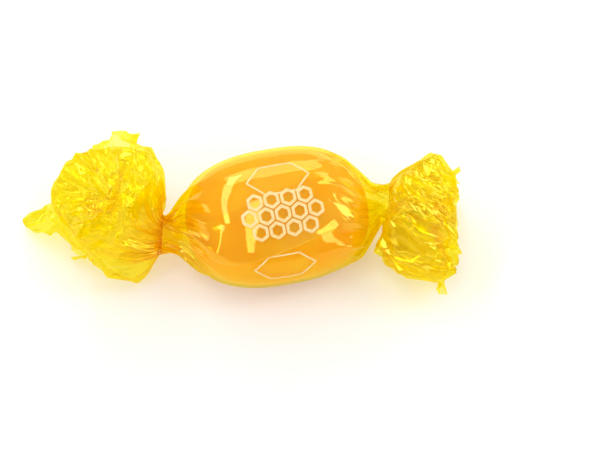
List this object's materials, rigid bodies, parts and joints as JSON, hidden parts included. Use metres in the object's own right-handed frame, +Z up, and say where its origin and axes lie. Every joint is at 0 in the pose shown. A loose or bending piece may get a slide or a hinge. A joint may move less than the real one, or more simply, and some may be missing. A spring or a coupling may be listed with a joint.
{
  "type": "filled hard candy",
  "caption": "Oval filled hard candy in a clear yellow twist wrap, with a pleated neck and a crumpled, ruffled tail of film at each end.",
  "frame": {"origin": "on the table, under the middle of the sweet, on the flat spot that it rests on", "axes": "+X along the sweet from the larger tail to the smaller one, +Y across it away from the viewer, +Z up off the table"},
  "size_m": [0.0625, 0.0359, 0.0185],
  "materials": {
    "yellow_film": "clear glossy cellulose film tinted yellow, crumpled, with a pale print over the sweet",
    "hard_candy": "smooth translucent amber boiled sugar",
    "cream_print": "pale cream ink printed on the film"
  },
  "bodies": {
    "root": {"wrapped_candy": "yellow_film"}
  },
  "joints": []
}
